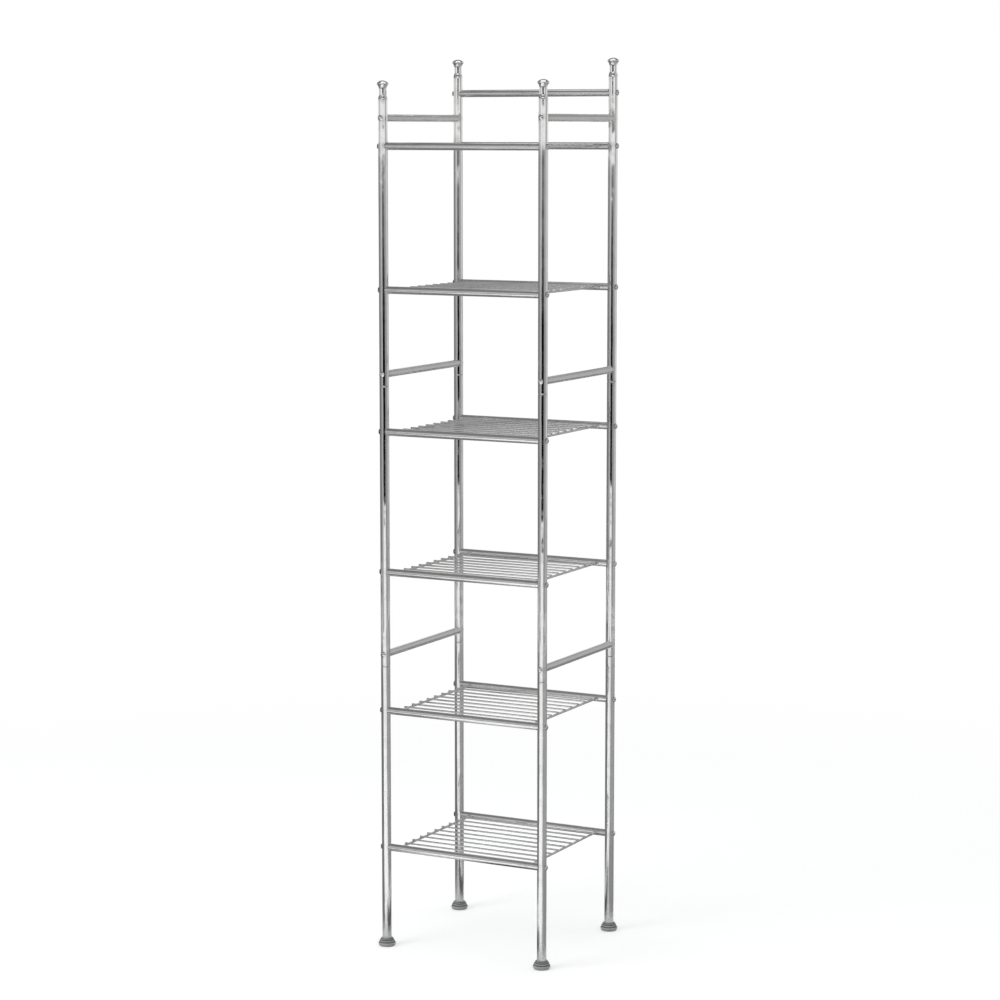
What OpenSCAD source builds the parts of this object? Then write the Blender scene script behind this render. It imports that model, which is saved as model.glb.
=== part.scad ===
// Six-shelf storage tower of plated steel tube.
//
// Four posts stand on rubber feet. Each post is three tubes plugged end to end
// and closed by a flared finial. Six welded wire shelves hang between the posts,
// and plain rails tie the sides and the back. Every shelf and rail is held by
// screws that pass right through a post into a threaded insert in the rail end.
//
// +X is to the right, +Y to the back and +Z up. The origin is on the floor,
// midway between the four posts.

/* [Footprint] */
// Distance between the left and right post centres
post_pitch_x = 300; // [220:1:480]
// Distance between the front and back post centres
post_pitch_y = 264; // [200:1:400]

/* [Posts] */
// Outside diameter of a post tube
post_d = 16; // [15:0.5:20]
// Wall of a post tube
post_wall = 1.2; // [0.8:0.1:2]
// Length of one post tube, from seam to seam
section_len = 480; // [440:1:600]
// Extra length of the upper back tubes over the upper front ones
back_rise = 40; // [10:1:120]
// Length of the swaged end that plugs into the tube above
spigot_len = 36; // [30:1:60]
// Length over which the bore narrows below a swaged end
swage_len = 3; // [2:0.5:6]
// Radial clearance between a swaged end and the bore that it enters
spigot_gap = 0.15; // [0.05:0.05:0.3]
// Rounding of the tube edges on both sides of a seam
seam_round = 1; // [0.3:0.1:1.2]
// Rounding of the tube edge under a finial
end_round = 0.3; // [0.1:0.1:0.6]

/* [Rails] */
// Outside diameter of the shelf, side and back rails
rail_d = 12.7; // [10:0.1:14]
// Wall of the rail tubes
rail_wall = 1; // [0.8:0.1:1.5]
// Height of the lower and upper side rails above the seam under them
side_rail_rise = 21; // [15:1:28]
// Drop of the top side rails below the end of the front tubes
top_rail_drop = 30; // [20:1:60]
// Drop of the back rail below the end of the back tubes
back_rail_drop = 27; // [20:1:60]

/* [Shelves] */
// Height of the first shelf of each section above the end of its tubes
shelf_offset = 163; // [100:1:200]
// Distance between the two shelves of one section
shelf_spacing = 240; // [180:1:260]
// Diameter of the two wires that run from front to back under the others
side_wire_d = 4; // [3:0.1:6]
// Distance of those wires from the post centres
side_wire_inset = 24; // [16:1:60]
// Diameter of the wires that run from left to right
cross_wire_d = 3; // [2:0.1:5]
// Number of wires that run from left to right
cross_wires = 9; // [5:1:13]
// Depth to which crossing wires melt into each other
weld_sink = 0.5; // [0.2:0.1:1]

/* [Feet] */
// Height of the rubber shown below the tube
foot_h = 15; // [14:0.5:24]
// Depth of the socket that takes the tube end
foot_socket = 3; // [2:0.5:6]
// Diameter of the sole
foot_sole_d = 26; // [22:0.5:30]
// Diameter of the wide lower ring
foot_skirt_d = 30; // [27:0.5:36]
// Diameter of the narrower ring above it
foot_step_d = 26.2; // [23:0.2:27]
// Diameter of the bead of the collar
foot_collar_d = 22.4; // [21:0.2:24]
// Wall of the collar round the tube end
foot_lip = 0.8; // [0.6:0.1:1.5]
// Length of the plug inside the tube
foot_plug_len = 24; // [12:1:40]

/* [Finials] */
// Height of a finial above the tube end
finial_h = 32; // [29:0.5:40]
// Height of the rounded shoulder that meets the tube
finial_shoulder = 8; // [4:0.5:12]
// Diameter of the neck
finial_neck_d = 13; // [10:0.1:13.6]
// Height at which the neck begins to flare
finial_flare_z = 18; // [12:0.5:20]
// Diameter of the rim
finial_rim_d = 20; // [17:0.5:26]
// Height of the rim
finial_rim_z = 26.5; // [24:0.5:28]
// Rounding of the rim
finial_rim_round = 1.5; // [0.8:0.1:2]
// Length of the plug inside the tube
finial_plug_len = 16; // [8:1:18]

/* [Screws] */
// Diameter of the screw shank
screw_d = 4.9; // [3.9:0.1:5.9]
// Diameter of the domed head
screw_head_d = 9.5; // [8:0.1:12]
// Height of the domed head
screw_head_h = 2.8; // [2.4:0.1:3.5]
// Height of the straight rim under the dome
screw_head_rim = 0.8; // [0.4:0.1:1.2]
// Key size of the hexagon socket
socket_key = 3; // [2.5:0.5:4]
// Depth of the hexagon socket
socket_depth = 1.6; // [1:0.1:2]
// Length of shank that grips the insert
thread_grip = 13; // [8:1:20]

/* [Fits] */
// Clearance where rails and screw heads seat on a post
seat_gap = 0.1; // [0.05:0.05:0.3]
// Radial clearance of plugs and inserts in their bores
plug_gap = 0.1; // [0.05:0.05:0.3]
// Radial clearance of a screw in the holes of a post
hole_gap = 0.3; // [0.1:0.05:0.6]
// Radial clearance of a screw in an insert
thread_gap = 0.1; // [0.05:0.05:0.2]
// Distance of an insert from the post, along the middle of its rail
insert_setback = 0.8; // [0.5:0.1:3]
// Length of insert beyond the end of the screw
insert_spare = 3; // [1:0.5:8]

/* [Hidden] */
$fn = 64;
over = 1;                // how far a cutter reaches past what it cuts
seam_wall_share = 0.85;  // the most of the wall that the rounding of a seam may take

chrome_tone = [0.80, 0.81, 0.83];
wire_tone = [0.76, 0.77, 0.79];
screw_tone = [0.72, 0.73, 0.75];
insert_tone = [0.72, 0.62, 0.36];
rubber_tone = [0.20, 0.205, 0.21];

corners = [
    ["front_left", -1, -1], ["front_right", 1, -1],
    ["back_left", -1, 1], ["back_right", 1, 1]
];
sides = [["left", -1], ["right", 1]];
sections = ["lower", "middle", "upper"];
side_rails = ["lower", "upper", "top"];
shelves_per_section = 2;
shelf_count = len(sections) * shelves_per_section;

// tube radii
post_r = post_d / 2;
post_bore_r = post_r - post_wall;
rail_r = rail_d / 2;
rail_bore_r = rail_r - rail_wall;
spigot_r = post_bore_r - spigot_gap;
spigot_bore_r = spigot_r - post_wall;
seam_edge = min(seam_round, post_wall * seam_wall_share);

// heights above the floor
tube_foot_z = foot_h - foot_socket;
function section_z(i) = tube_foot_z + i * section_len;
front_top_z = section_z(len(sections));
back_top_z = front_top_z + back_rise;
function shelf_z(n) =
    section_z(floor((n - 1) / shelves_per_section)) + shelf_offset
    + ((n - 1) % shelves_per_section) * shelf_spacing;
shelf_heights = [for (n = [1:shelf_count]) shelf_z(n)];
side_rail_heights = [
    section_z(1) + side_rail_rise, section_z(2) + side_rail_rise, front_top_z - top_rail_drop
];
back_rail_z = back_top_z - back_rail_drop;

// screws and inserts
screw_hole_d = screw_d + 2 * hole_gap;
insert_d = 2 * (rail_bore_r - plug_gap);
insert_start = post_r + insert_setback;
insert_len = thread_grip + insert_spare;
shank_len = post_r + seat_gap + insert_start + thread_grip;

// ---- post tubes ----

// Cuts the outer edge off a profile whose corner is at radius r and height z.
module edge_cutter(r, z, edge) {
    translate([r - edge, z - edge]) difference() {
        square(edge + over);
        circle(edge);
    }
}

// Half section of a post tube. A swaged one steps in at z1 to enter the next.
module tube_profile(z0, z1, bottom_edge, top_edge, swaged) {
    plain_top = [[post_bore_r, z1]];
    swaged_top = [
        [spigot_r, z1],
        [spigot_r, z1 + spigot_len],
        [spigot_bore_r, z1 + spigot_len],
        [spigot_bore_r, z1],
        [post_bore_r, z1 - swage_len]
    ];
    difference() {
        polygon(concat(
            [[post_bore_r, z0], [post_r, z0], [post_r, z1]],
            swaged ? swaged_top : plain_top
        ));
        edge_cutter(post_r, z1, top_edge);
        translate([0, z0]) mirror([0, 1]) edge_cutter(post_r, 0, bottom_edge);
    }
}

// Screw holes through both walls at the given heights. A turn of 0 runs along X.
module cross_holes(heights, turn) {
    for (z = heights) translate([0, 0, z]) rotate([0, 90, turn])
        cylinder(d = screw_hole_d, h = post_d + 2 * over, center = true);
}

module post_tube(corner, section) {
    swaged = section < len(sections) - 1;
    at_back = corner[2] > 0;
    z0 = section_z(section);
    z1 = swaged ? section_z(section + 1) : at_back ? back_top_z : front_top_z;
    z_end = swaged ? z1 + spigot_len : z1;
    color(chrome_tone)
    translate([corner[1] * post_pitch_x / 2, corner[2] * post_pitch_y / 2, 0]) difference() {
        rotate_extrude() tube_profile(z0, z1, seam_edge, swaged ? seam_edge : end_round, swaged);
        cross_holes([for (z = shelf_heights) if (z > z0 && z < z_end) z], 0);
        cross_holes([for (z = side_rail_heights) if (z > z0 && z < z_end) z], 90);
        if (at_back && !swaged) cross_holes([back_rail_z], 0);
    }
}

// ---- feet ----

foot_skirt_round = 3;
foot_skirt_z = 4.5;
foot_step_round = 1.5;
foot_step_z = 9;
foot_collar_round = 1;
foot_collar_z = 12.2;
foot_groove_depth = 1.4;   // of the groove under the collar's bead
foot_sole_angle = 35;      // how far below level the skirt's curve runs on to the sole
foot_plug_lead = 1.5;

// Half section of a foot: sole, wide ring, narrower ring and a beaded collar that
// slopes up to the tube, with grooves between them and a plug that fills the tube's end.
module foot_profile() {
    skirt_c = foot_skirt_d / 2 - foot_skirt_round;
    step_c = foot_step_d / 2 - foot_step_round;
    collar_c = foot_collar_d / 2 - foot_collar_round;
    groove_z = (foot_step_z + foot_step_round + foot_collar_z - foot_collar_round) / 2;
    plug_r = post_bore_r - plug_gap;
    difference() {
        union() {
            polygon([
                [0, 0],
                [foot_sole_d / 2, 0],
                [skirt_c + foot_skirt_round * cos(foot_sole_angle),
                    foot_skirt_z - foot_skirt_round * sin(foot_sole_angle)],
                [skirt_c, foot_skirt_z],
                [step_c, foot_step_z],
                [foot_collar_d / 2 - foot_groove_depth, groove_z],
                [collar_c, foot_collar_z],
                [post_r + plug_gap + foot_lip, foot_h],
                [0, foot_h]
            ]);
            translate([skirt_c, foot_skirt_z]) circle(foot_skirt_round);
            translate([step_c, foot_step_z]) circle(foot_step_round);
            translate([collar_c, foot_collar_z]) circle(foot_collar_round);
        }
        translate([plug_r, tube_foot_z])
            square([post_r + plug_gap - plug_r, foot_socket + over]);
    }
    polygon([
        [0, tube_foot_z],
        [plug_r, tube_foot_z],
        [plug_r, tube_foot_z + foot_plug_len - foot_plug_lead],
        [plug_r - foot_plug_lead, tube_foot_z + foot_plug_len],
        [0, tube_foot_z + foot_plug_len]
    ]);
}

module foot(corner) {
    color(rubber_tone)
    translate([corner[1] * post_pitch_x / 2, corner[2] * post_pitch_y / 2, 0])
        rotate_extrude() foot_profile();
}

// ---- finials ----

// Half section of a finial, from its plug at negative heights to its domed top.
// Its curves run smoothly into each other: shoulder, neck, flare, rim and dome.
module finial_profile() {
    neck_r = finial_neck_d / 2;
    rim_c = finial_rim_d / 2 - finial_rim_round;
    plug_r = post_bore_r - plug_gap;

    bend_in = (post_r - neck_r) / 2;
    bend_up = finial_shoulder / 2;
    bend_r = (bend_in * bend_in + bend_up * bend_up) / (2 * bend_in);

    flare_in = rim_c - neck_r;
    flare_up = finial_rim_z - finial_flare_z;
    flare_r = (flare_in * flare_in + flare_up * flare_up - finial_rim_round * finial_rim_round)
        / (2 * (finial_rim_round + flare_in));
    flare_end = rim_c + finial_rim_round * (neck_r + flare_r - rim_c)
        / (flare_r + finial_rim_round);

    dome_up = finial_h - finial_rim_z;
    dome_r = (rim_c * rim_c + dome_up * dome_up - finial_rim_round * finial_rim_round)
        / (2 * (dome_up - finial_rim_round));

    // plug
    translate([0, -finial_plug_len]) square([plug_r, finial_plug_len]);
    // shoulder: a round that runs on into a hollow
    intersection() {
        square([post_r, bend_up]);
        translate([post_r - bend_r, 0]) circle(bend_r);
    }
    difference() {
        translate([0, bend_up]) square([neck_r + bend_in, bend_up]);
        translate([neck_r + bend_r, finial_shoulder]) circle(bend_r);
    }
    // neck
    square([neck_r, finial_flare_z]);
    // flare
    difference() {
        translate([0, finial_flare_z]) square([flare_end, flare_up]);
        translate([neck_r + flare_r, finial_flare_z]) circle(flare_r);
    }
    // rim
    translate([rim_c, finial_rim_z]) circle(finial_rim_round);
    // dome
    intersection() {
        translate([0, finial_rim_z]) square([finial_rim_d / 2, dome_up]);
        translate([0, finial_h - dome_r]) circle(dome_r);
    }
}

module finial(corner) {
    z = corner[2] > 0 ? back_top_z : front_top_z;
    color(chrome_tone)
    translate([corner[1] * post_pitch_x / 2, corner[2] * post_pitch_y / 2, z])
        rotate_extrude() finial_profile();
}

// ---- rails ----

// A tube along Z between two posts at the given pitch, its ends cut to saddle
// the posts, which run along X here.
module coped_tube(pitch) {
    difference() {
        cylinder(r = rail_r, h = pitch, center = true);
        cylinder(r = rail_bore_r, h = pitch + 2 * over, center = true);
        for (end = [-1, 1]) translate([0, 0, end * pitch / 2]) rotate([0, 90, 0])
            cylinder(r = post_r + seat_gap, h = rail_d + 2 * over, center = true);
    }
}

module rail_along_x() {
    rotate([0, 90, 0]) coped_tube(post_pitch_x);
}

module rail_along_y() {
    rotate([0, 90, 90]) coped_tube(post_pitch_y);
}

module side_rail(side, i) {
    color(chrome_tone)
    translate([side[1] * post_pitch_x / 2, 0, side_rail_heights[i]]) rail_along_y();
}

module back_rail() {
    color(chrome_tone) translate([0, post_pitch_y / 2, back_rail_z]) rail_along_x();
}

// ---- shelves ----

// Two side wires run from rail to rail at the rails' middle height. The cross
// wires lie on them, below the top of the rails.
module wire_grid() {
    side_x = post_pitch_x / 2 - side_wire_inset;
    side_len = post_pitch_y - 2 * (rail_r - rail_wall / 2);
    cross_pitch = post_pitch_y / (cross_wires + 1);
    cross_z = (side_wire_d + cross_wire_d) / 2 - weld_sink;
    for (x = [-side_x, side_x]) translate([x, 0, 0]) rotate([90, 0, 0])
        cylinder(d = side_wire_d, h = side_len, center = true);
    for (i = [1:cross_wires]) translate([0, i * cross_pitch - post_pitch_y / 2, cross_z])
        rotate([0, 90, 0])
            cylinder(d = cross_wire_d, h = 2 * side_x + side_wire_d, center = true);
}

module shelf(n) {
    translate([0, 0, shelf_z(n)]) {
        color(chrome_tone)
        for (y = [-1, 1]) translate([0, y * post_pitch_y / 2, 0]) rail_along_x();
        color(wire_tone) wire_grid();
    }
}

// ---- screws and inserts ----

// A screw whose axis is Z and whose head sits on a post centred on the origin.
module screw() {
    rise = screw_head_h - screw_head_rim;
    head_r = screw_head_d / 2;
    dome_r = (head_r * head_r + rise * rise) / (2 * rise);
    color(screw_tone) difference() {
        union() {
            translate([0, 0, post_r + seat_gap]) rotate_extrude() intersection() {
                square([head_r, screw_head_h]);
                translate([0, screw_head_h - dome_r]) circle(dome_r);
            }
            translate([0, 0, post_r + seat_gap - shank_len]) cylinder(d = screw_d, h = shank_len);
        }
        translate([0, 0, post_r + seat_gap + screw_head_h - socket_depth])
            cylinder(d = socket_key / cos(30), h = socket_depth + over, $fn = 6);
    }
}

// An insert in the rail end that the same screw enters.
module insert() {
    color(insert_tone) translate([0, 0, -insert_start - insert_len]) difference() {
        cylinder(d = insert_d, h = insert_len);
        translate([0, 0, -over])
            cylinder(d = screw_d + 2 * thread_gap, h = insert_len + 2 * over);
    }
}

// Puts what follows on each named post, turned to look outwards along X.
module on_posts_along_x(rows, z) {
    for (x = [-1, 1], y = rows)
        translate([x * post_pitch_x / 2, y * post_pitch_y / 2, z]) rotate([0, x * 90, 0]) children();
}

// The same, turned to look outwards along Y.
module on_posts_along_y(z) {
    for (x = [-1, 1], y = [-1, 1])
        translate([x * post_pitch_x / 2, y * post_pitch_y / 2, z]) rotate([-y * 90, 0, 0]) children();
}

// ---- assembly ----

for (c = corners) {
    for (i = [0:len(sections) - 1])
        post_tube(c, i);
    foot(c);
    finial(c);
}

for (i = [0:len(side_rails) - 1]) {
    for (s = sides)
        side_rail(s, i);
    on_posts_along_y(side_rail_heights[i]) screw();
    on_posts_along_y(side_rail_heights[i]) insert();
}

for (n = [1:shelf_count]) {
    shelf(n);
    on_posts_along_x([-1, 1], shelf_z(n)) screw();
    on_posts_along_x([-1, 1], shelf_z(n)) insert();
}

back_rail();
on_posts_along_x([1], back_rail_z) screw();  // back_rail_screws
on_posts_along_x([1], back_rail_z) insert();  // back_rail_inserts
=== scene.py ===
"""The looks of a six-shelf storage tower: plated tube and wire, weld metal, rubber feet and a studio."""

import math

import bpy
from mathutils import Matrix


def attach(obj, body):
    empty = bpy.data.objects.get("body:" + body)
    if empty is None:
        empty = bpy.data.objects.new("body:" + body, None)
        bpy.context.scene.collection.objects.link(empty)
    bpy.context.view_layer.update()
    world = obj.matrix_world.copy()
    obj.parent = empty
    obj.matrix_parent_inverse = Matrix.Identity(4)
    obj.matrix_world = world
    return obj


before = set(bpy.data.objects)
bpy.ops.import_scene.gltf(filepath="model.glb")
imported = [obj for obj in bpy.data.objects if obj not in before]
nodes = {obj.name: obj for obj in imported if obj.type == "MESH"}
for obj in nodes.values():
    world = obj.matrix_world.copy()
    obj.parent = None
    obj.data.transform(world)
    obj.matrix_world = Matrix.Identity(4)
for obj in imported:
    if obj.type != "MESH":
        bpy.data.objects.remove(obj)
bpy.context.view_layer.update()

# Sizes that the dressing shares with the solids, in metres
POST_X, POST_Y = 0.150, 0.132
POST_R = 0.008
RAIL_R = 0.00635
TUBE_START_Z = 0.012
SECTION = 0.480
BACK_RISE = 0.040
SHELF_OFFSET = 0.163
SHELF_SPACING = 0.240
SIDE_RAIL_RISE = 0.021
TOP_RAIL_DROP = 0.030
BACK_RAIL_DROP = 0.027
SIDE_WIRE_X = 0.126
SIDE_WIRE_R = 0.002
CROSS_WIRES = 9
CROSS_PITCH = 2 * POST_Y / (CROSS_WIRES + 1)

# Heights that follow from them
SEAM_Z = [TUBE_START_Z + SECTION, TUBE_START_Z + 2 * SECTION]
FRONT_END_Z = TUBE_START_Z + 3 * SECTION
BACK_END_Z = FRONT_END_Z + BACK_RISE
SIDE_RAIL_Z = [SEAM_Z[0] + SIDE_RAIL_RISE, SEAM_Z[1] + SIDE_RAIL_RISE, FRONT_END_Z - TOP_RAIL_DROP]
BACK_RAIL_Z = BACK_END_Z - BACK_RAIL_DROP
SHELF_Z = [start + SHELF_OFFSET + i * SHELF_SPACING for start in [TUBE_START_Z, *SEAM_Z] for i in (0, 1)]

# Heights on a foot: its grooves, the crests of its rings, and where the tube comes out of it
FOOT_GROOVES = [0.0072, 0.0107, 0.0133]
FOOT_CRESTS = [0.0055, 0.0095, 0.0125]
TUBE_SHOWS_Z = 0.016

# Weld metal: half sizes of a mound, the collar at the end of a side wire, and how deep each sits
MOUND_HALF = (0.00235, 0.00215, 0.00115)
MOUND_SINK = 0.0003
COLLAR_R, COLLAR_TIP_R = 0.0036, 0.00215
COLLAR_LONG = 0.0022
COLLAR_ROUND = 0.0006
COLLAR_SINK = 0.0004

# The camera, in metres, degrees and millimetres of lens
CAMERA_AT = (2.2350, -4.2763, 1.4005)
CAMERA_AZIMUTH = 27.574
CAMERA_DOWN = 7.418
CAMERA_LENS = 102.07

# The studio: heights of the rows of cards, how far off they stand, and the levels of paint and light
LOWER_ROW, GAP_ROW, UPPER_ROW = (0.02, 1.36), (1.36, 1.75), (1.75, 3.3)
FULL_HEIGHT = (LOWER_ROW[0], UPPER_ROW[1])
CARD_AWAY = 3.2
NECK_CARD_AWAY = 0.9
CARD_LIFT = 1.25
CARD_DARK = 0.005
CEILING_Z = 3.6
CEILING_WIDE = 7.0
CEILING_SHADE = 0.22
ROOM_TINT = (0.98, 0.99, 1.0)
ROOM_LIGHT = 0.62
FLOOR_WIDE = 60.0
FLOOR_SHADE = 0.86
FLOOR_GLOW = 0.35
FLOOR_FADE = (0.9, 2.4)  # metres from the tower, where the floor turns into the white of the room
LAMP_AIM_Z = 0.76

# Grey on the floor: where a wedge and the painted shadow under the tower fade, and what a lane keeps of that
# shadow
WEDGE_FADE_IN = 0.15  # metres past its near end
WEDGE_FADE_OUT = (0.8, 1.2)  # shares of its far end's distance
WEDGE_WIDE = 2.6  # in the same shares
SHADE_REACH = 0.42
SHADE_FADE_OUT = (0.22, 0.50)  # shares of its width
LANE_EDGE = (0.03, 0.13)  # metres from the line of the posts
LANE_SHARE = 0.45

WHITE = (1.0, 1.0, 1.0)
BLACK = (0.0, 0.0, 0.0)


# ---- shader maths ----


class Value:
    """One output of a shader tree. Python's operators on it add Math nodes."""

    def __init__(self, finish, socket):
        self.finish = finish
        self.socket = socket

    def maths(self, operation, *others, clamp=False):
        values = dict(enumerate([self, *others]))
        return self.finish.node("ShaderNodeMath", {"operation": operation, "use_clamp": clamp}, values)

    def __add__(self, other):
        return self.maths("ADD", other)

    __radd__ = __add__

    def __sub__(self, other):
        return self.maths("SUBTRACT", other)

    def __rsub__(self, other):
        return self.finish.number(other).maths("SUBTRACT", self)

    def __mul__(self, other):
        return self.maths("MULTIPLY", other)

    __rmul__ = __mul__

    def __pow__(self, other):
        return self.maths("POWER", other)

    def __abs__(self):
        return self.maths("ABSOLUTE")

    def least(self, other):
        return self.maths("MINIMUM", other)

    def kept(self):
        """Held between 0 and 1."""
        return self.maths("ADD", 0.0, clamp=True)

    def step(self, low, high):
        """0 below low, 1 above high and a smooth ramp between."""
        return self.finish.node(
            "ShaderNodeMapRange",
            {"interpolation_type": "SMOOTHSTEP"},
            {"Value": self, "From Min": low, "From Max": high, "To Min": 0.0, "To Max": 1.0},
        )


class Finish:
    """A material and the few calls that fill its node tree."""

    def __init__(self, name, **constants):
        self.material = bpy.data.materials.new(name)
        self.material.use_nodes = True
        self.tree = self.material.node_tree
        self.shader = self.tree.nodes["Principled BSDF"]
        for socket, value in constants.items():
            self.shader.inputs[socket.replace("_", " ")].default_value = value
        self.place = self.node("ShaderNodeTexCoord", out="Object")
        split = self.node("ShaderNodeSeparateXYZ", sockets={"Vector": self.place}).socket.node
        self.x, self.y, self.z = (Value(self, split.outputs[axis]) for axis in "XYZ")

    def node(self, kind, settings=None, sockets=None, out=0):
        """Adds a node, sets it up, then fills its sockets with numbers, colours or links."""
        made = self.tree.nodes.new(kind)
        for name, setting in (settings or {}).items():
            setattr(made, name, setting)
        for name, value in (sockets or {}).items():
            if isinstance(value, Value):
                self.tree.links.new(value.socket, made.inputs[name])
            else:
                made.inputs[name].default_value = value
        return Value(self, made.outputs[out])

    def number(self, value):
        return self.node("ShaderNodeMath", {"operation": "ADD"}, {0: value, 1: 0.0})

    def noise(self, scale, detail=2.0, stretch=(1, 1, 1), roughness=0.5, shift=(0, 0, 0)):
        """Noise of about that many features a metre, each axis's count multiplied by stretch."""
        counts = tuple(scale * share for share in stretch)
        mapping = {"Vector": self.place, "Scale": counts, "Location": shift}
        at = self.node("ShaderNodeMapping", sockets=mapping)
        texture = {"Vector": at, "Scale": 1.0, "Detail": detail, "Roughness": roughness}
        return self.node("ShaderNodeTexNoise", sockets=texture)

    def cells(self, scale):
        """Distance to the nearest of scattered points, about that many a metre."""
        texture = {"Vector": self.place, "Scale": scale}
        return self.node("ShaderNodeTexVoronoi", sockets=texture, out="Distance")

    def blend(self, amount, low, high):
        """Blends two colours, of which either may be another blend."""
        low = low if isinstance(low, Value) else (*low, 1.0)
        high = high if isinstance(high, Value) else (*high, 1.0)
        return self.node("ShaderNodeMix", {"data_type": "RGBA"}, {"Factor": amount, 6: low, 7: high}, 2)

    def near(self, axis, levels, reach):
        """1 at any of the levels along an axis, falling to 0 at reach from it."""
        gap = None
        for level in levels:
            this = abs(axis - level)
            gap = this if gap is None else gap.least(this)
        return 1 - gap.step(0.0, reach)

    def away(self):
        """Distance from the upright line through the origin, in the object's own units."""
        return (self.x * self.x + self.y * self.y) ** 0.5

    def relief(self, *layers):
        """Stacks bumps, each a height from 0 to 1 and its depth in metres, and feeds Normal."""
        normal = None
        for height, depth in layers:
            sockets = {"Height": height, "Distance": depth, "Strength": 1.0}
            if normal is not None:
                sockets["Normal"] = normal
            normal = self.node("ShaderNodeBump", sockets=sockets)
        self.feed(Normal=normal)

    def feed(self, **sockets):
        for name, value in sockets.items():
            self.tree.links.new(value.socket, self.shader.inputs[name.replace("_", " ")])


# ---- finishes ----

PLATE, PLATE_CLOUDED = (0.81, 0.81, 0.805), (0.69, 0.69, 0.685)
EDGE_TINT = (0.91, 0.91, 0.905, 1.0)
SCREW_BRIGHT, SCREW_DULL = (0.74, 0.75, 0.77), (0.58, 0.59, 0.60)
WELD_BRIGHT, WELD_DULL = (0.70, 0.71, 0.72), (0.50, 0.50, 0.51)
BRASS_BRIGHT, BRASS_TARNISHED = (0.72, 0.56, 0.27), (0.42, 0.30, 0.14)
RUBBER, RUBBER_BLOOMED = (0.285, 0.287, 0.292), (0.37, 0.372, 0.377)
# The lighter grey of the crests of a foot's rings, a painted highlight
RUBBER_CREST_HIGHLIGHT = (0.46, 0.462, 0.466)
FLOOR_DUST = (0.40, 0.395, 0.38)
# The near-black of a foot's grooves, a painted shade
GROOVE_SHADE = (0.085, 0.085, 0.088)
SEAT_REACH = 0.010


def drawn_out(along, share):
    """A stretch that makes features longer along one axis, by leaving only that share of them on it."""
    return tuple(share if axis == along else 1.0 for axis in "xyz")


def plated(name, along, seats, roughness=0.045, waves=1.0):
    """Bright plate over drawn tube: polish lines along the tube, slow waves, clouding by the seats."""
    finish = Finish(name, Metallic=1.0, Specular_Tint=EDGE_TINT)
    drawn = finish.noise(2600, detail=3.0, stretch=drawn_out(along, 0.03), roughness=0.6)
    wave = finish.noise(95, detail=1.0, stretch=drawn_out(along, 0.35))
    wander = finish.noise(23, detail=1.0, stretch=drawn_out(along, 0.35), shift=(3, 1, 5))
    cloud = finish.noise(60, detail=4.0, roughness=0.55, shift=(7, 2, 1))
    hair = finish.noise(900, stretch=drawn_out(along, 0.02), roughness=0.7, shift=(1, 4, 2))
    specks = 1 - finish.cells(420).step(0.05, 0.16)

    handled = cloud.step(0.48, 0.72)
    scuffs = hair.step(0.66, 0.80)
    dulled = finish.near(getattr(finish, along), seats, SEAT_REACH)
    worn = (handled * 0.45 + dulled * 0.8 * cloud + scuffs * 0.3).kept()

    finish.feed(
        Base_Color=finish.blend(worn, PLATE, PLATE_CLOUDED),
        Roughness=roughness + 0.05 * drawn + 0.11 * worn + 0.10 * specks * handled,
    )
    finish.relief(
        (wander, 0.0022 * waves),
        (wave, 0.00035 * waves),
        (drawn, 0.0000006),
        (scuffs * hair, 0.0000020),
    )
    return finish.material


def turned_plate():
    """Plate over a turned finial: faint rings round its upright axis."""
    finish = Finish("Finial_plate", Metallic=1.0, Specular_Tint=EDGE_TINT)
    rings = finish.noise(2400, stretch=(0.02, 0.02, 1.0), roughness=0.6)
    cloud = finish.noise(120, detail=4.0, roughness=0.55)
    wave = finish.noise(160, detail=1.0)
    handled = cloud.step(0.46, 0.70)
    finish.feed(
        Base_Color=finish.blend(handled * 0.5, PLATE, PLATE_CLOUDED),
        Roughness=0.035 + 0.04 * rings + 0.08 * handled,
    )
    finish.relief((wave, 0.00004), (rings, 0.0000005))
    return finish.material


def screw_plate():
    """Plate over a cold-headed screw: fine orange peel and duller patches."""
    finish = Finish("Screw_plate", Metallic=1.0, Specular_Tint=EDGE_TINT)
    peel = finish.noise(1300)
    cloud = finish.noise(260, detail=3.0)
    handled = cloud.step(0.45, 0.68)
    finish.feed(
        Base_Color=finish.blend(handled, SCREW_BRIGHT, SCREW_DULL),
        Roughness=0.09 + 0.12 * handled + 0.04 * peel,
    )
    finish.relief((peel, 0.000020), (cloud, 0.00010))
    return finish.material


def welded_plate():
    """Plate over weld metal: rippled, pitted and less bright than the wire beside it."""
    finish = Finish("Weld_plate", Metallic=1.0, Specular_Tint=EDGE_TINT)
    ripple = finish.noise(900, detail=3.0)
    pits = finish.cells(1500).step(0.1, 0.5)
    hollow = (1 - ripple).step(0.40, 0.62)
    finish.feed(
        Base_Color=finish.blend(hollow, WELD_BRIGHT, WELD_DULL),
        Roughness=0.16 + 0.16 * hollow,
    )
    finish.relief((ripple, 0.00028), (pits, 0.00006))
    return finish.material


def brass():
    """Turned brass of the inserts, with feed marks and a little tarnish."""
    finish = Finish("Insert_brass", Metallic=1.0)
    marks = finish.noise(3000, detail=1.0, stretch=(1.0, 0.05, 0.05))
    tarnish = finish.noise(200, detail=4.0).step(0.42, 0.66)
    finish.feed(
        Base_Color=finish.blend(tarnish, BRASS_BRIGHT, BRASS_TARNISHED),
        Roughness=0.22 + 0.20 * tarnish + 0.08 * marks,
    )
    finish.relief((marks, 0.000010))
    return finish.material


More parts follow.
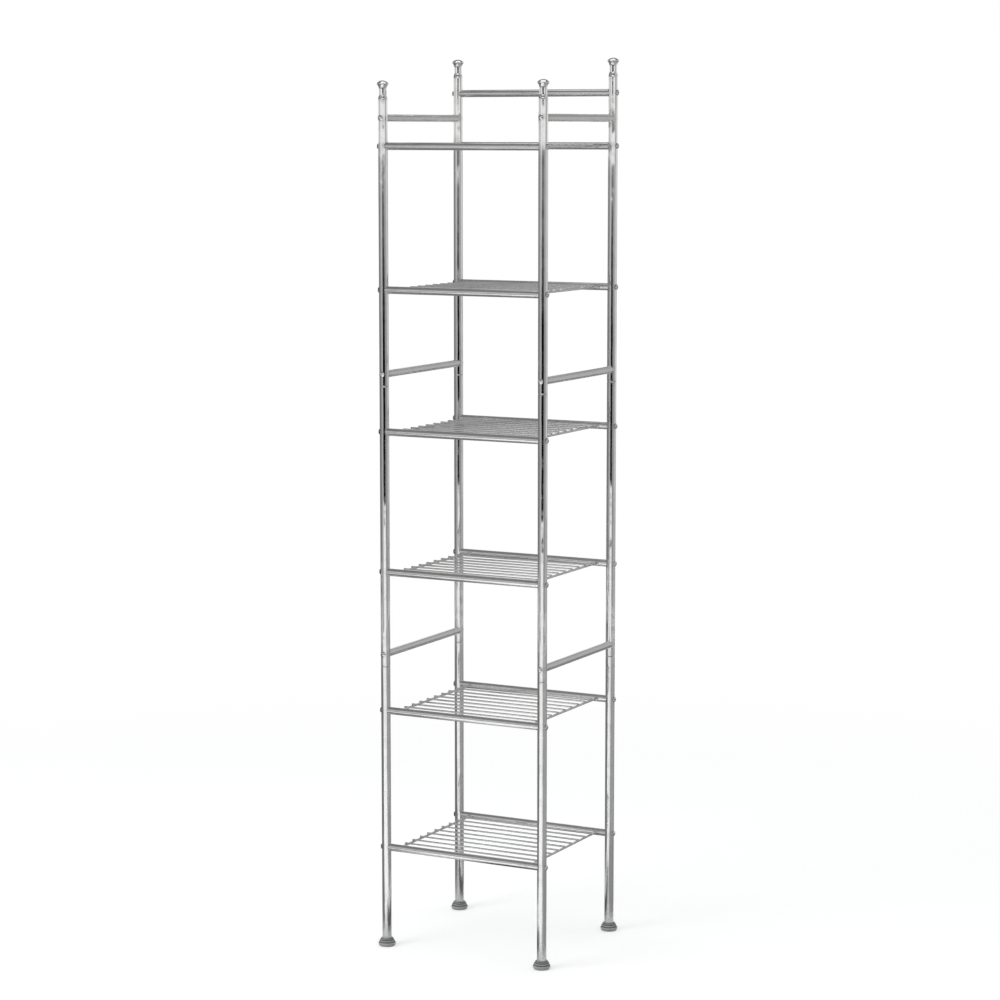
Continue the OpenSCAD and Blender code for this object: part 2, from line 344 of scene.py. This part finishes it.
def rubber():
    """Moulded grey rubber: matt grain, pale bloom, a painted highlight on the crests, painted shade in the
    grooves, dust by the floor.
    """
    finish = Finish("Foot_rubber", Sheen_Weight=0.08, Sheen_Roughness=0.5, Specular_IOR_Level=0.35)
    grain = finish.noise(2400, detail=3.0, roughness=0.65)
    pebble = finish.cells(1100).step(0.0, 0.7)
    bloom = finish.noise(150, detail=4.0).step(0.38, 0.68)
    rub = finish.noise(420, detail=3.0, stretch=(1.0, 1.0, 0.5), roughness=0.6, shift=(3, 3, 3))
    patchy_groove_shade = 0.55 + 0.9 * finish.noise(190, detail=3.0, shift=(2, 7, 5))
    patchy_dust = finish.noise(260, detail=3.0, shift=(9, 1, 4))

    # Painted shade: the grooves darkened, more in some patches than others
    groove_shade = finish.near(finish.z, FOOT_GROOVES, 0.0011) * patchy_groove_shade
    # Painted highlight: the crests of the rings lighter, and a little smoother
    crest_highlight = finish.near(finish.z, FOOT_CRESTS, 0.0012)
    by_floor = 1 - finish.z.step(0.0, 0.006)
    dust = (by_floor * 0.75 * patchy_dust + rub.step(0.52, 0.70) * 0.35).kept()

    body = finish.blend(bloom, RUBBER, RUBBER_BLOOMED)
    body = finish.blend((crest_highlight * 0.6).kept(), body, RUBBER_CREST_HIGHLIGHT)
    body = finish.blend(dust, body, FLOOR_DUST)
    finish.feed(
        Base_Color=finish.blend((groove_shade * 0.85).kept(), body, GROOVE_SHADE),
        Roughness=0.42 + 0.14 * grain + 0.12 * bloom - 0.06 * crest_highlight,
    )
    finish.relief((bloom, 0.00008), (pebble, 0.00009), (grain, 0.00005))
    return finish.material


def both_sides(distance):
    """The two levels that lie this far from the middle."""
    return [-distance, distance]


post_seats = sorted(SHELF_Z + SEAM_Z + SIDE_RAIL_Z + [BACK_RAIL_Z, TUBE_SHOWS_Z, FRONT_END_Z, BACK_END_Z])
shelf_seats = both_sides(SIDE_WIRE_X) + both_sides(POST_X - POST_R)

# By the ending of a node's name; the shelves have none of these endings
finishes = {
    "_post": plated("Post_plate", "z", post_seats),
    "_side_rail": plated("Side_rail_plate", "y", both_sides(POST_Y - POST_R), waves=0.8),
    "back_rail": plated("Back_rail_plate", "x", both_sides(POST_X - POST_R), waves=0.8),
    "_finial": turned_plate(),
    "_screws": screw_plate(),
    "_inserts": brass(),
    "_foot": rubber(),
}
shelf_plate = plated("Shelf_plate", "x", shelf_seats, roughness=0.06, waves=0.6)
weld_plate = welded_plate()

for name, node in nodes.items():
    material = next((finishes[ending] for ending in finishes if name.endswith(ending)), shelf_plate)
    if not node.material_slots:
        node.data.materials.append(material)
    for slot in node.material_slots:
        slot.material = material


# ---- welds ----


def only(*objects):
    """Selects these objects and nothing else."""
    bpy.ops.object.select_all(action="DESELECT")
    for obj in objects:
        obj.select_set(True)
    bpy.context.view_layer.objects.active = objects[0]


def spot_weld():
    """The low mound left where a cross wire is pressed into a side wire."""
    bpy.ops.object.select_all(action="DESELECT")
    bpy.ops.mesh.primitive_uv_sphere_add(segments=12, ring_count=7, radius=1.0)
    bpy.ops.object.mode_set(mode="EDIT")
    bpy.ops.mesh.select_all(action="SELECT")
    bpy.ops.transform.resize(value=MOUND_HALF)
    bpy.ops.object.mode_set(mode="OBJECT")
    bpy.ops.object.shade_smooth()
    return bpy.context.object


def end_weld():
    """The collar of weld metal where a side wire meets the wall of a shelf rail."""
    bpy.ops.object.select_all(action="DESELECT")
    bpy.ops.mesh.primitive_cone_add(
        vertices=16, radius1=COLLAR_R, radius2=COLLAR_TIP_R, depth=COLLAR_LONG, end_fill_type="NGON"
    )
    bpy.ops.object.mode_set(mode="EDIT")
    bpy.ops.mesh.select_all(action="SELECT")
    bpy.ops.mesh.bevel(offset=COLLAR_ROUND, segments=2, affect="EDGES")
    bpy.ops.object.mode_set(mode="OBJECT")
    bpy.ops.object.shade_smooth()
    return bpy.context.object


def copy_of(pattern, place, turn=(0.0, 0.0, 0.0)):
    """A copy with its own mesh, at a place."""
    made = pattern.copy()
    made.data = pattern.data.copy()
    made.location = place
    made.rotation_euler = turn
    bpy.context.scene.collection.objects.link(made)
    return made


def shelf_welds(number, shelf_z, mound, collar):
    """All the weld metal of one shelf, joined into one piece."""
    wall_y = POST_Y - RAIL_R
    beads = []
    for side in (-1, 1):
        x = side * SIDE_WIRE_X
        for i in range(1, CROSS_WIRES + 1):
            y = i * CROSS_PITCH - POST_Y
            beads.append(copy_of(mound, (x, y, shelf_z + SIDE_WIRE_R - MOUND_SINK)))
        for end in (-1, 1):
            place = (x, end * (wall_y - COLLAR_SINK), shelf_z)
            beads.append(copy_of(collar, place, (-end * math.pi / 2, math.pi, 0.0)))
    only(*beads)
    bpy.ops.object.join()
    bpy.ops.object.transform_apply(location=True, rotation=True, scale=True)
    welds = bpy.context.object
    welds.name = welds.data.name = f"shelf_{number}_welds"
    welds.data.materials.append(weld_plate)
    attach(welds, "root")


mound, collar = spot_weld(), end_weld()
for number, shelf_z in enumerate(SHELF_Z, 1):
    shelf_welds(number, shelf_z, mound, collar)
for pattern in (mound, collar):
    bpy.data.objects.remove(pattern)


# ---- studio ----


def around(azimuth, distance, height):
    """A point round the tower. Azimuths grow to the right as the camera sees them; 0 is at the camera."""
    angle = math.radians(CAMERA_AZIMUTH + azimuth)
    return (distance * math.sin(angle), -distance * math.cos(angle), height)


def grey(shade):
    return (shade, shade, shade)


def flat(name, shade, place, size, turn=(0.0, 0.0, 0.0)):
    """A studio flat that glows at one set grey, shows in the metal only, and neither lights nor shades
    anything.
    """
    bpy.ops.object.select_all(action="DESELECT")
    bpy.ops.mesh.primitive_plane_add(size=1.0, location=place, rotation=turn)
    made = bpy.context.object
    made.name = name
    made.scale = (*size, 1.0)
    made.visible_camera = made.visible_shadow = made.visible_diffuse = False
    paint = Finish(
        name + "_paint",
        Base_Color=(*BLACK, 1.0),
        Roughness=1.0,
        Specular_IOR_Level=0.0,
        Emission_Color=(*grey(shade), 1.0),
        Emission_Strength=1.0,
    )
    made.data.materials.append(paint.material)
    return paint


def card(name, start, end, shade, heights=LOWER_ROW, away=CARD_AWAY, top_shade=None, ramp=(0.0, 0.35)):
    """An upright flat that fills these azimuths and faces the tower.

    Its shade may change to top_shade, between the two heights of ramp, of which -0.5 is at its foot
    and 0.5 at its top.
    """
    low, high = heights
    middle = (start + end) / 2
    wide = 2 * away * math.tan(math.radians(end - start) / 2)
    turn = (math.radians(90), 0.0, math.radians(CAMERA_AZIMUTH + middle))
    paint = flat(name, shade, around(middle, away, (low + high) / 2), (wide, high - low), turn)
    if top_shade is not None:
        paint.feed(Emission_Color=paint.blend(paint.y.step(*ramp), grey(shade), grey(top_shade)))


def floor_wedge(name, start, end, rise, shade, soft=12, near=0.24, far=3.3):
    """A wedge of grey just over the floor between two azimuths. It fades in past near and out round far."""
    wide = WEDGE_WIDE * far
    turn = (0.0, 0.0, math.radians(CAMERA_AZIMUTH + (start + end) / 2))
    paint = flat(name, shade, (0.0, 0.0, rise), (wide, wide), turn)
    half = math.radians(end - start) / 2
    edge = math.radians(soft)
    inside = 1 - abs(paint.x.maths("ARCTAN2", -1.0 * paint.y)).step(half - edge, half + edge)
    away = paint.away() * wide
    begun = away.step(near, near + WEDGE_FADE_IN)
    ended = away.step(*(share * far for share in WEDGE_FADE_OUT))
    paint.feed(Alpha=inside * begun * (1 - ended))


def floor_shade(rise, shade):
    """A painted shadow on the floor under the tower, seen in the metal only, with a painted lighter lane
    along each side's feet.
    """
    wide = 2 * SHADE_REACH
    paint = flat("floor_shade", shade, (0.0, 0.0, rise), (wide, wide))
    off_lane = abs(abs(paint.x * wide) - POST_X).step(*LANE_EDGE)
    inside = 1 - paint.away().step(*SHADE_FADE_OUT)
    paint.feed(Alpha=inside * (LANE_SHARE + (1 - LANE_SHARE) * off_lane))


def softbox(name, azimuth, distance, height, size, watts):
    """A soft lamp that looks at the middle of the tower."""
    data = bpy.data.lights.new(name, "AREA")
    data.shape = "RECTANGLE"
    data.size, data.size_y = size
    data.energy = watts
    lamp = bpy.data.objects.new(name, data)
    lamp.location = around(azimuth, distance, height)
    x, y, z = lamp.location
    tilt = math.atan2(LAMP_AIM_Z - z, math.hypot(x, y))
    lamp.rotation_euler = (math.pi / 2 + tilt, 0.0, math.atan2(x, -y))
    bpy.context.scene.collection.objects.link(lamp)
    return lamp


def backdrop_ray(tree):
    """1 for rays from the camera and for those that metal or glass sends on."""
    path = tree.nodes.new("ShaderNodeLightPath")
    total = path.outputs["Is Camera Ray"]
    for kind in ("Is Glossy Ray", "Is Transmission Ray"):
        add = tree.nodes.new("ShaderNodeMath")
        add.operation = "ADD"
        add.use_clamp = True
        tree.links.new(total, add.inputs[0])
        tree.links.new(path.outputs[kind], add.inputs[1])
        total = add.outputs[0]
    return total


def room():
    """White all round for the eye and for metal, a plain soft light for everything else."""
    world = bpy.data.worlds.new("Studio")
    world.use_nodes = True
    tree = world.node_tree
    light = tree.nodes["Background"]
    light.inputs["Color"].default_value = (*ROOM_TINT, 1.0)
    light.inputs["Strength"].default_value = ROOM_LIGHT
    seen = tree.nodes.new("ShaderNodeBackground")
    seen.inputs["Color"].default_value = (*WHITE, 1.0)
    seen.inputs["Strength"].default_value = 1.0
    mix = tree.nodes.new("ShaderNodeMixShader")
    tree.links.new(backdrop_ray(tree), mix.inputs[0])
    tree.links.new(light.outputs[0], mix.inputs[1])
    tree.links.new(seen.outputs[0], mix.inputs[2])
    tree.links.new(mix.outputs[0], tree.nodes["World Output"].inputs["Surface"])
    bpy.context.scene.world = world


def floor():
    """A pale floor that turns into the white of the room further out and keeps the tower's shadow."""
    bpy.ops.object.select_all(action="DESELECT")
    bpy.ops.mesh.primitive_plane_add(size=FLOOR_WIDE, location=(0.0, 0.0, 0.0))
    ground = bpy.context.object
    ground.name = "floor"
    finish = Finish(
        "Floor_paper",
        Base_Color=(*grey(FLOOR_SHADE), 1.0),
        Roughness=1.0,
        Specular_IOR_Level=0.0,
        Emission_Strength=FLOOR_GLOW,
    )
    seen = Value(finish, backdrop_ray(finish.tree))
    finish.feed(Emission_Color=finish.blend(seen, BLACK, WHITE))
    paper = Value(finish, finish.shader.outputs["BSDF"])
    white = finish.node("ShaderNodeEmission", sockets={"Color": (*WHITE, 1.0), "Strength": 1.0})
    further_out = finish.away().step(*FLOOR_FADE)
    mix = finish.node("ShaderNodeMixShader", sockets={0: seen * further_out, 1: paper, 2: white})
    finish.tree.links.new(mix.socket, finish.tree.nodes["Material Output"].inputs["Surface"])
    ground.data.materials.append(finish.material)


def camera():
    """The photograph's viewpoint, with a level horizon and no shift."""
    data = bpy.data.cameras.new("camera")
    data.lens = CAMERA_LENS
    data.sensor_width = 36.0
    data.clip_end = 200.0
    made = bpy.data.objects.new("camera", data)
    made.location = CAMERA_AT
    made.rotation_euler = (math.radians(90 - CAMERA_DOWN), 0.0, math.radians(CAMERA_AZIMUTH))
    bpy.context.scene.collection.objects.link(made)
    bpy.context.scene.camera = made


room()
floor()
flat("ceiling", CEILING_SHADE, (0.0, 0.0, CEILING_Z), (CEILING_WIDE, CEILING_WIDE))

# Cards by azimuth: the shade of the lower row, lighter at its top, and of the upper row
for side, start, end, shade, upper_shade in (
    ("left_back", -173, -82, 0.20, 0.19),
    ("left", -82, -50, 0.36, 0.37),
    ("left_front", -50, -32, 0.54, 0.48),
    ("right_front", 22, 59, 0.32, 0.44),
    ("right", 59, 116, 0.46, 0.46),
    ("right_back", 138, 173, 0.24, 0.42),
):
    card("card_" + side, start, end, shade, top_shade=shade * CARD_LIFT)
    card("card_top_" + side, start, end, upper_shade, heights=UPPER_ROW)
card("card_right_side", 116, 138, 0.50, heights=FULL_HEIGHT, top_shade=0.30)
card("card_gap_right", 48, 110, 0.50, heights=GAP_ROW)
card("card_gap_left", -112, -62, 0.62, heights=GAP_ROW)
card("card_by_camera", -32, 22, CARD_DARK, heights=(0.31, 1.36), top_shade=0.25, ramp=(-0.05, 0.60))
card("card_front_necks", -24, 21, CARD_DARK, heights=(1.463, 1.497), away=NECK_CARD_AWAY)
card("card_back_necks", -30, 26, CARD_DARK, heights=(1.513, 1.575), away=NECK_CARD_AWAY)

# Each rises a little over the last, because the renderer shows only one of two flats in one plane
floor_wedge("floor_left_back", -180, -62, 0.0010, 0.20, soft=9)
floor_wedge("floor_back", 150, 180, 0.0015, 0.22)
floor_wedge("floor_right", 14, 104, 0.0020, 0.38)
floor_wedge("floor_right_back", 104, 150, 0.0025, 0.26, soft=9)
floor_wedge("floor_right_near", 36, 180, 0.0030, 0.30, soft=24, far=0.8)
floor_shade(0.0040, 0.11)

lamp_left = softbox("lamp_left", azimuth=-60, distance=2.4, height=1.3, size=(1.3, 2.0), watts=22.0)
lamp_left.visible_glossy = False
softbox("lamp_right", azimuth=108, distance=3.0, height=1.5, size=(0.75, 2.4), watts=3.4)
softbox("lamp_top", azimuth=0, distance=0.01, height=3.4, size=(1.8, 1.8), watts=10.0)

camera()
bpy.context.scene.view_settings.view_transform = "Standard"
